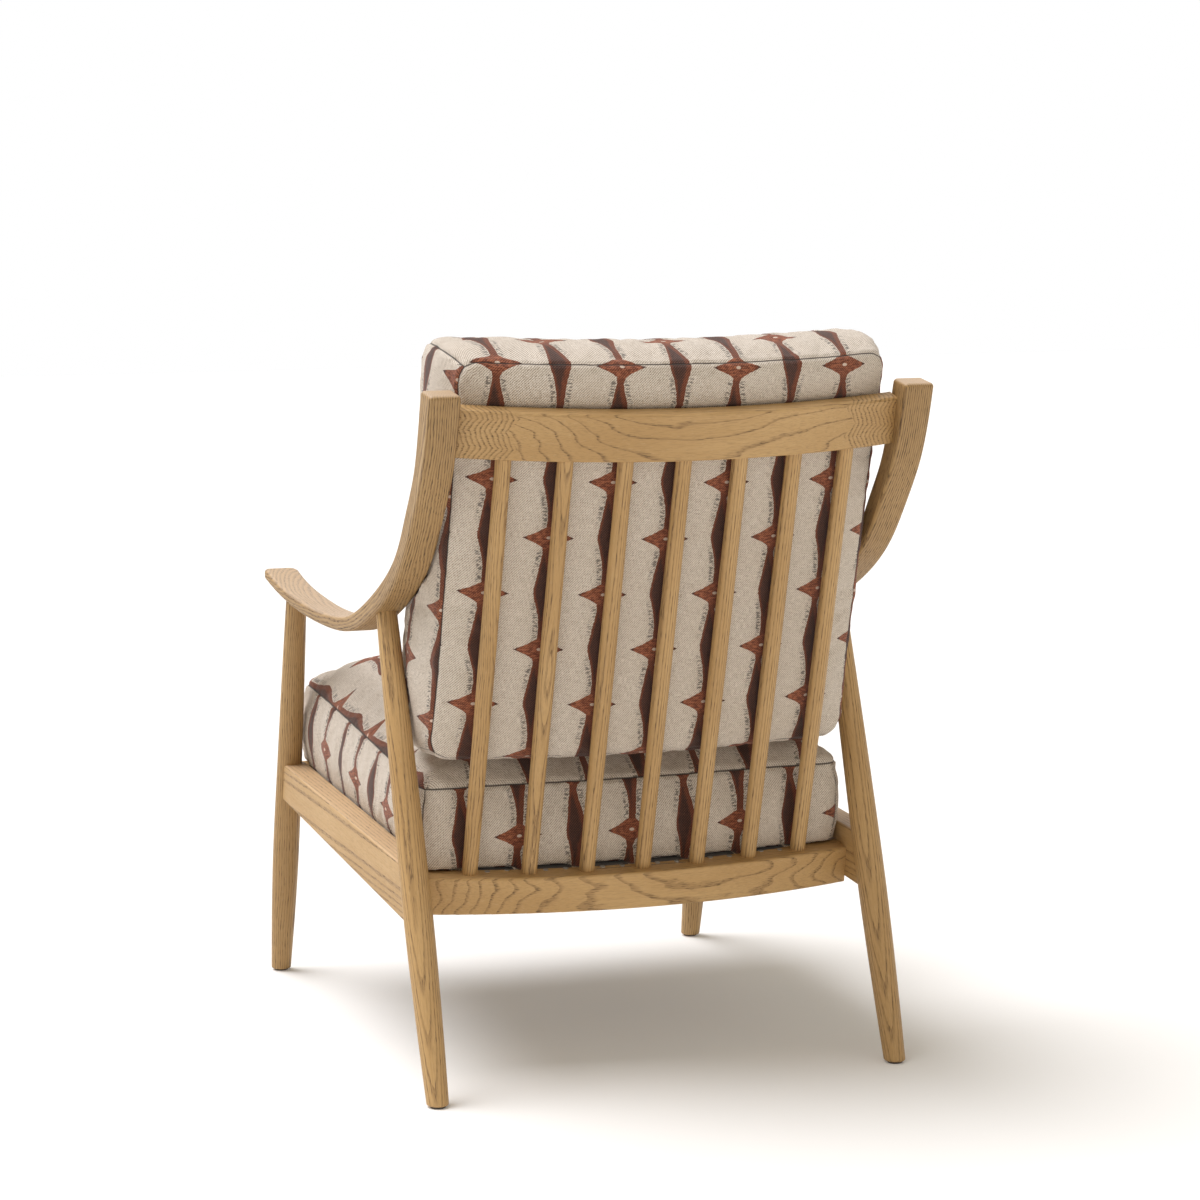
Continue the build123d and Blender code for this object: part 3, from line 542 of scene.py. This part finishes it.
def boxed(name, hw, hh, thick, r, step, place, cloth, mirrored=False):
    """A boxed cushion cover: two panels joined by a band, with uv maps in metres for cloth and seams.
    place(x, y, s, level) gives the 3-D point; cloth(strip, x, y, run, level) gives the cloth coordinates."""
    px, py = rounded_grid(hw, hh, r, step)
    ni, nj = px.shape
    rows = max(4, round(thick / step))
    ring = ([(i, 0) for i in range(ni)] + [(ni - 1, j) for j in range(1, nj)]
            + [(i, nj - 1) for i in range(ni - 2, -1, -1)] + [(0, j) for j in range(nj - 2, 0, -1)])
    n = len(ring)
    rx = np.array([px[i] for i in ring])
    ry = np.array([py[i] for i in ring])
    edges = np.hypot(np.diff(np.append(rx, rx[0])), np.diff(np.append(ry, ry[0])))
    run = np.concatenate([[0], np.cumsum(edges)])
    corner = [0, ni - 1, ni + nj - 2, 2 * ni + nj - 3, n]
    co, panel = [], {}
    for level in (0.0, 1.0):
        ids = np.full((ni, nj), -1)
        for i in range(ni):
            for j in range(nj):
                ids[i, j] = len(co)
                co.append((px[i, j], py[i, j], level, 0.0))
        panel[level] = ids
    band = np.zeros((rows + 1, n), int)
    band[0] = [panel[0.0][i] for i in ring]
    band[rows] = [panel[1.0][i] for i in ring]
    for m in range(1, rows):
        for j in range(n):
            band[m, j] = len(co)
            co.append((rx[j], ry[j], m / rows, 1.0))
    co = np.array(co)
    faces, tex, seam = [], [], []
    for level in (0.0, 1.0):
        ids = panel[level]
        depth = inset(px, py, hw, hh, r)
        for i in range(ni - 1):
            for j in range(nj - 1):
                quad = [(i, j), (i + 1, j), (i + 1, j + 1), (i, j + 1)]
                if (level == 0.0) != mirrored:
                    quad.reverse()
                faces.append([ids[c] for c in quad])
                tex += [cloth("panel", px[c], py[c], 0.0, level) for c in quad]
                seam += [(depth[c], 1.0) for c in quad]
    for m in range(rows):
        for j in range(n):
            j2 = (j + 1) % n
            strip = sum(j >= c for c in corner[1:4])
            mid = (run[corner[strip]] + run[corner[strip + 1]]) / 2
            quad = [(m, j, run[j]), (m, j2, run[j + 1]), (m + 1, j2, run[j + 1]), (m + 1, j, run[j])]
            if mirrored:
                quad.reverse()
            faces.append([band[a, b] for a, b, s in quad])
            for a, b, s in quad:
                tex.append(cloth(strip, rx[b], ry[b], s - mid, a / rows))
                near = min(abs(s - run[corner[strip]]), abs(s - run[corner[strip + 1]]))
                seam.append((min(a, rows - a) / rows * thick, near))
    points = place(co[:, 0], co[:, 1], co[:, 2], co[:, 3] > 0)
    mesh = bpy.data.meshes.new(name)
    mesh.from_pydata(points.tolist(), [], [[int(v) for v in f] for f in faces])
    for label, values in (("cloth", tex), ("seam", seam)):
        layer = mesh.uv_layers.new(name=label)
        layer.data.foreach_set("uv", np.array(values, np.float32).ravel())
    mesh.polygons.foreach_set("use_smooth", [True] * len(mesh.polygons))
    mesh.materials.append(fabric)
    obj = bpy.data.objects.new(name, mesh)
    bpy.context.scene.collection.objects.link(obj)
    on_seam = sorted(set(band[0]) | set(band[rows]))
    return obj, on_seam, panel


def coords(obj):
    mesh = obj.evaluated_get(bpy.context.evaluated_depsgraph_get()).data
    co = np.zeros(len(mesh.vertices) * 3)
    mesh.vertices.foreach_get("co", co)
    return co.reshape(-1, 3)


def write(obj, co):
    obj.data.vertices.foreach_set("co", np.asarray(co, float).ravel())
    obj.data.update()


def inflate(obj, pins, cap, pressure=4.0, slack=-0.02):
    """Cloth under air pressure, held at the seams and where it rests; no point moves further than cap."""
    start = coords(obj)
    group = obj.vertex_groups.new(name="held")
    for weight, ids in pins:
        group.add([int(i) for i in ids], weight, "REPLACE")
    mod = obj.modifiers.new("cloth", "CLOTH")
    s = mod.settings
    s.quality = 6
    s.mass = 0.25
    s.tension_stiffness = s.compression_stiffness = 22
    s.shear_stiffness = 8
    s.bending_stiffness = 0.6
    s.tension_damping = s.compression_damping = s.shear_damping = 8
    s.air_damping = 4
    s.vertex_group_mass = "held"
    s.pin_stiffness = 1
    s.shrink_min = slack
    s.use_pressure = True
    s.uniform_pressure_force = pressure
    s.effector_weights.gravity = 0
    mod.collision_settings.use_collision = False
    mod.point_cache.frame_start, mod.point_cache.frame_end = 1, 20
    for step in range(1, 21):
        bpy.context.scene.frame_set(step)
    end = coords(obj)
    obj.modifiers.remove(mod)
    obj.vertex_groups.remove(group)
    bpy.context.scene.frame_set(1)
    move = end - start
    far = np.linalg.norm(move, axis=1, keepdims=True)
    write(obj, start + move * np.minimum(1, cap / np.maximum(far, 1e-9)))
    print(obj.name, "moved up to", round(float(far.max()) * 1000, 1), "mm")


def solids(names):
    dg = bpy.context.evaluated_depsgraph_get()
    verts, faces = [], []
    for name in names:
        mesh = nodes[name].evaluated_get(dg).data
        base = len(verts)
        verts += [v.co[:] for v in mesh.vertices]
        faces += [[base + i for i in p.vertices] for p in mesh.polygons]
    return BVHTree.FromPolygons(verts, faces)


def depth_in(tree, p, way):
    """How many closed solids a point is inside, counted along one direction."""
    count, start = 0, p
    for k in range(24):
        spot, normal, face, dist = tree.ray_cast(start, way)
        if spot is None:
            return count
        count += 1 if normal.dot(way) > 0 else -1
        start = spot + way * 1e-5
    return count


def clear_of(co, tree, gap=0.0012, reach=0.012):
    """Cloth that would sink into the wood is pressed back to just off its surface."""
    ways = (Vector((0.31, 0.2, 0.93)).normalized(), Vector((-0.27, 0.9, 0.34)).normalized())
    for i, p in enumerate(co):
        p = Vector(p)
        spot, normal, face, dist = tree.find_nearest(p, reach)
        if spot is None:
            continue
        if (p - spot).dot(normal) < 0 and all(depth_in(tree, p, way) > 0 for way in ways):
            co[i] = spot + normal * gap
        elif dist < gap:
            co[i] = spot + (normal if dist < 1e-6 else (p - spot).normalized()) * gap
    return co


WOODEN = ("post", "leg", "rail", "block")
wood = solids([n for n in nodes if n.split("_")[-1] in WOODEN or n.startswith("spindle")])


def refine(obj, depth=0.0018):
    """One subdivision, then the seam grooves and the small puckers that run off them."""
    mod = obj.modifiers.new("smooth", "SUBSURF")
    mod.levels = mod.render_levels = 1
    mod.uv_smooth = "NONE"
    bpy.context.view_layer.objects.active = obj
    bpy.ops.object.select_all(action="DESELECT")
    obj.select_set(True)
    bpy.ops.object.modifier_apply(modifier=mod.name)
    mesh = obj.data
    loops = len(mesh.loops)
    owner = np.zeros(loops, int)
    mesh.loops.foreach_get("vertex_index", owner)
    seam = np.zeros(loops * 2)
    mesh.uv_layers["seam"].data.foreach_get("uv", seam)
    cloth = np.zeros(loops * 2)
    mesh.uv_layers["cloth"].data.foreach_get("uv", cloth)
    near = np.full(len(mesh.vertices), 1.0)
    np.minimum.at(near, owner, seam.reshape(-1, 2).min(1))
    co = np.zeros(len(mesh.vertices) * 3)
    mesh.vertices.foreach_get("co", co)
    co = co.reshape(-1, 3)
    normal = np.zeros(len(mesh.vertices) * 3)
    mesh.vertex_normals.foreach_get("vector", normal)
    normal = normal.reshape(-1, 3)
    mm = near * 1000
    push = -depth * np.exp(-(mm / 2.2) ** 2) + 0.0007 * np.exp(-((mm - 5.5) / 3) ** 2)
    ripple = np.array([noise.noise(Vector(p) * 85) for p in co])
    soft = np.array([noise.noise(Vector(p) * 17 + Vector((3, 1, 7))) for p in co])
    push += 0.0011 * ripple * np.exp(-mm / 9) + 0.0012 * soft * np.minimum(1, mm / 20)
    write(obj, co + normal * push[:, None])


# the seat cushion
SHW, SHD, STHICK = 0.281, 0.2815, 0.104
SEAT_CORNER, BACK_CORNER, CLOTH_STEP = 0.024, 0.027, 0.0075
crown_y = [(-0.563, 52), (-0.43, 55), (-0.3, 56), (-0.22, 50),
           (-0.15, 41), (-0.11, 36), (-0.06, 36), (0.0, 36)]
cy, ch = np.array(crown_y).T
fine_y = np.linspace(-0.563, 0, 400)
fine_h = np.convolve(np.pad(np.interp(fine_y, cy, ch), 20, mode="edge"), np.ones(41) / 41, "valid")


def place_seat(x, y, level, between):
    yy = y - SHD
    pull = 0.0015 + 0.0035 * level
    sx = 1 - pull / SHW * np.clip(1 - (y / SHD) ** 4, 0, 1)
    sy = 1 - pull / SHD * np.clip(1 - (x / SHW) ** 4, 0, 1)
    swell = (0.006 - 0.003 * (y > SHD - 0.03)) * np.sin(np.pi * level) * between
    xx = x * (sx + swell / SHW * (abs(x) > SHW - 0.03))
    yc = y * (sy + swell / SHD * (abs(y) > SHD - 0.03)) - SHD
    bow = np.maximum(0, 0.0135 - x ** 2 / 3.1) * (1 - 0.6 * level)
    yc = yc + bow * np.clip((y - SHD + 0.08) / 0.08, 0, 1)
    near = np.clip(inset(x, y, SHW, SHD, SEAT_CORNER), 0, 1)
    reach = 0.12 - 0.045 * np.clip((y - 0.1) / 0.15, 0, 1)
    rise = np.interp(yy, fine_y, fine_h) / 1000 * (1 - (1 - np.clip(near / reach, 0, 1)) ** 2.2) * 0.95
    h = np.where(between, level * STHICK, level * (STHICK + rise))
    return Seat.out(xx, yc, h)


def cloth_seat(strip, x, y, run, level):
    if strip == "panel":
        return (x - 0.281, y - SHD + 0.262) if level else (x - 0.03, y)
    if strip in (0, 2):
        along = run if strip == 0 else -run
        return (along - 0.0095, (level - 0.39) * STHICK)
    along = run if strip == 1 else -run
    return (along + SHD - 0.149, (level - 0.45) * STHICK)


# what the underside rests on, looked up from above: rails and straps, with the cloth sagging between them
under = solids([n for n in nodes if n.startswith("webbing_") or n.endswith(("_rail", "_block"))])
gx, gy = np.linspace(-0.29, 0.29, 233), np.linspace(-0.58, 0.03, 245)
floor_h = np.full((len(gx), len(gy)), -0.0115)
down = Vector(-Seat.Z)
for i, x in enumerate(gx):
    for j, y in enumerate(gy):
        start = Seat.out(x, y, 0.03)
        hit = under.ray_cast(Vector(start), down, 0.055)
        if hit[0] is not None:
            floor_h[i, j] = max(0.0006 + 0.03 - hit[3], floor_h[i, j])
soft_h = floor_h.copy()
for k in range(3):
    pad = np.pad(soft_h, 1, mode="edge")
    soft_h = (pad[2:, 1:-1] + pad[:-2, 1:-1] + pad[1:-1, 2:] + pad[1:-1, :-2] + 2 * soft_h) / 6
floor_h = np.maximum(floor_h, soft_h)


def rest(x, y):
    u = np.clip((x - gx[0]) / (gx[1] - gx[0]), 0, len(gx) - 1.001)
    v = np.clip((y - gy[0]) / (gy[1] - gy[0]), 0, len(gy) - 1.001)
    i, j = u.astype(int), v.astype(int)
    u, v = u - i, v - j
    return ((1 - u) * (1 - v) * floor_h[i, j] + u * (1 - v) * floor_h[i + 1, j]
            + (1 - u) * v * floor_h[i, j + 1] + u * v * floor_h[i + 1, j + 1])


seat, seams, panels = boxed("seat_cushion_cover_sewn", SHW, SHD, STHICK, SEAT_CORNER, CLOTH_STEP,
                            place_seat, cloth_seat)
inflate(seat, [(1.0, seams), (1.0, panels[0.0].ravel())], 0.008, 5.0)
x, y, h = Seat.back(coords(seat))
under_back = 0.1415 + 0.05 * np.clip((-0.078 - x * x / 1.86 - y) / 0.04, 0, 1)
low = np.maximum(rest(x, y), -0.008 - 0.02 * np.clip((-0.004 - y) / 0.03, 0, 1))
drop = np.clip(1 - h / 0.03, 0, 1)
crown = STHICK + 0.005 + np.interp(y, fine_y, fine_h) / 1000
write(seat, Seat.out(x, y, np.maximum(np.minimum(h + low * drop, np.minimum(under_back, crown)), low)))
refine(seat)
for again in range(2):
    x, y, h = Seat.back(clear_of(coords(seat), wood, 0.0028))
    write(seat, Seat.out(x, y, np.where(h < 0.02, np.maximum(h, rest(x, y) + 0.0012), h)))

# the back cushion
BHW, BHH, BTHICK = 0.2735, 0.2575, 0.125


def place_back(x, y, level, between):
    w = y / (2 * BHH) + 0.5
    a = x
    d = (level - 0.5) * BTHICK
    pull = 0.004
    a = a * (1 + 0.022 * (1 - level)) * (1 - pull / BHW * np.clip(1 - (y / BHH) ** 4, 0, 1))
    w = (w - 0.5) * (1 - 0.6 * pull / BHH * np.clip(1 - (x / BHW) ** 4, 0, 1)) + 0.5
    swell = 0.008 * np.sin(np.pi * level) * between
    a = a + np.sign(x) * swell * (abs(x) > BHW - 0.03)
    lift = swell * 0.9 * (y > BHH - 0.03) + 0.005 * (1 - level) * np.clip(y / BHH, 0, 1) ** 4
    deep = np.minimum(1, inset(x, y, BHW, BHH, BACK_CORNER) / 0.14)
    dome = 1 - (1 - np.clip(deep, 0, 1)) ** 2.2
    front, rear = 0.002 - BTHICK / 2, BTHICK / 2 - 0.006
    panel = np.where(level > 0.5, rear + 0.004 * dome, front - 0.006 * dome)
    d = np.where(between, front + level * (rear - front), panel)
    return Back.out(a, w, d, lift)


# where the woven pattern falls on this cushion, and how far it was cut off straight
RISE, SLANT = 0.0011, 0.031


def cloth_back(strip, x, y, run, level):
    if strip == "panel":
        return (x - 0.0095, y + BHH + RISE - SLANT * x)
    if strip in (0, 2):
        along = run if strip == 0 else -run
        if strip == 2:
            return (along - 0.0095, 2 * BHH + RISE - SLANT * x + (1 - level) * BTHICK)
        return (along - 0.0095, RISE - SLANT * x - (1 - level) * BTHICK)
    along = run if strip == 1 else -run
    return ((level - 1.0) * BTHICK, along + BHH + 0.1354 - 0.625)


back, seams, panels = boxed("back_cushion_cover_sewn", BHW, BHH, BTHICK, BACK_CORNER, CLOTH_STEP,
                            place_back, cloth_back, True)
inflate(back, [(1.0, seams)], 0.007, 4.5)


def seat_back_limits(co):
    """The back cushion is flat where it leans on the spindles and where it stands on the seat."""
    deep = Back.spindle_depth(co)
    co = co - Back.n * np.maximum(deep + 0.0118, 0)[:, None]
    h = (co - Seat.origin) @ Seat.Z
    return co + Seat.Z * np.maximum(0.1429 - h, 0)[:, None]


write(back, seat_back_limits(coords(back)))
refine(back)
for again in range(2):
    write(back, seat_back_limits(clear_of(seat_back_limits(coords(back)), wood, 0.0034)))

# only the covers are replaced: the foam cores stay, and are shown
for piece, body, node, fill in ((seat, "seat_cushion", "seat_cushion_cover", 0.85),
                                (back, "back_cushion", "back_cushion_cover", 0.8)):
    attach(piece, body)
    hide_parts(node)


# ------------------------------------------------------------ floor, light
g = Mat("pale_floor")
p = g.place()
floor_mat = g.finish(g.mix(g.noise(p, 3.0, 2.0), (0.81, 0.795, 0.765), (0.83, 0.815, 0.785)), 0.9,
                      Emission_Color=(1.0, 1.0, 1.0, 1.0),
                      Emission_Strength=0.1)
size = 12.0
mesh = bpy.data.meshes.new("floor")
mesh.from_pydata([(-size, -size, 0), (size, -size, 0), (size, size, 0), (-size, size, 0)], [], [(0, 1, 2, 3)])
mesh.materials.append(floor_mat)
floor = bpy.data.objects.new("floor", mesh)
bpy.context.scene.collection.objects.link(floor)

world = bpy.data.worlds.new("studio")
bpy.context.scene.world = world
world.use_nodes = True
t = world.node_tree
glow = t.nodes["Background"]
tint = t.nodes.new("ShaderNodeMix")
tint.data_type = "RGBA"
tint.inputs[6].default_value = (1.0, 0.92, 0.77, 1)
tint.inputs[7].default_value = (1.0, 1.0, 1.0, 1)
t.links.new(tint.outputs[2], glow.inputs[0])
ray = t.nodes.new("ShaderNodeLightPath")
level = t.nodes.new("ShaderNodeMapRange")
seen = t.nodes.new("ShaderNodeMath")
seen.operation = "MAXIMUM"
t.links.new(ray.outputs["Is Camera Ray"], seen.inputs[0])
t.links.new(ray.outputs["Is Glossy Ray"], seen.inputs[1])
t.links.new(seen.outputs[0], tint.inputs[0])
t.links.new(seen.outputs[0], level.inputs[0])
level.inputs[3].default_value, level.inputs[4].default_value = 0.38, 1.0
t.links.new(level.outputs[0], glow.inputs[1])


def sun(name, toward, power, spread, colour):
    data = bpy.data.lights.new(name, "SUN")
    data.energy, data.angle, data.color = power, math.radians(spread), colour
    obj = bpy.data.objects.new(name, data)
    obj.rotation_mode = "QUATERNION"
    obj.rotation_quaternion = Vector(toward).to_track_quat("Z", "Y")
    bpy.context.scene.collection.objects.link(obj)


sun("key", (0.42, -0.24, 1.0), 3.3, 45, (1.0, 1.01, 1.07))
sun("fill", (-0.2, 1.0, 0.5), 0.26, 60, (1.0, 0.9, 0.74))

scene = bpy.context.scene
scene.view_settings.view_transform = "Standard"
scene.view_settings.look = "None"

cam = bpy.data.cameras.new("camera")
cam.sensor_width = 36.0
cam.lens = 103.23
view = bpy.data.objects.new("camera", cam)
scene.collection.objects.link(view)
yaw, pitch = math.radians(19.647), math.radians(7.8)
look = Vector((-math.sin(yaw) * math.cos(pitch), -math.cos(yaw) * math.cos(pitch), -math.sin(pitch)))
right = Vector((-math.cos(yaw), math.sin(yaw), 0))
up = right.cross(look)
turn = Matrix((right, up, -look)).transposed()
view.rotation_mode = "QUATERNION"
view.rotation_quaternion = turn.to_quaternion()
view.location = (1.464, REAR + 3.838, 1.1627)
scene.camera = view
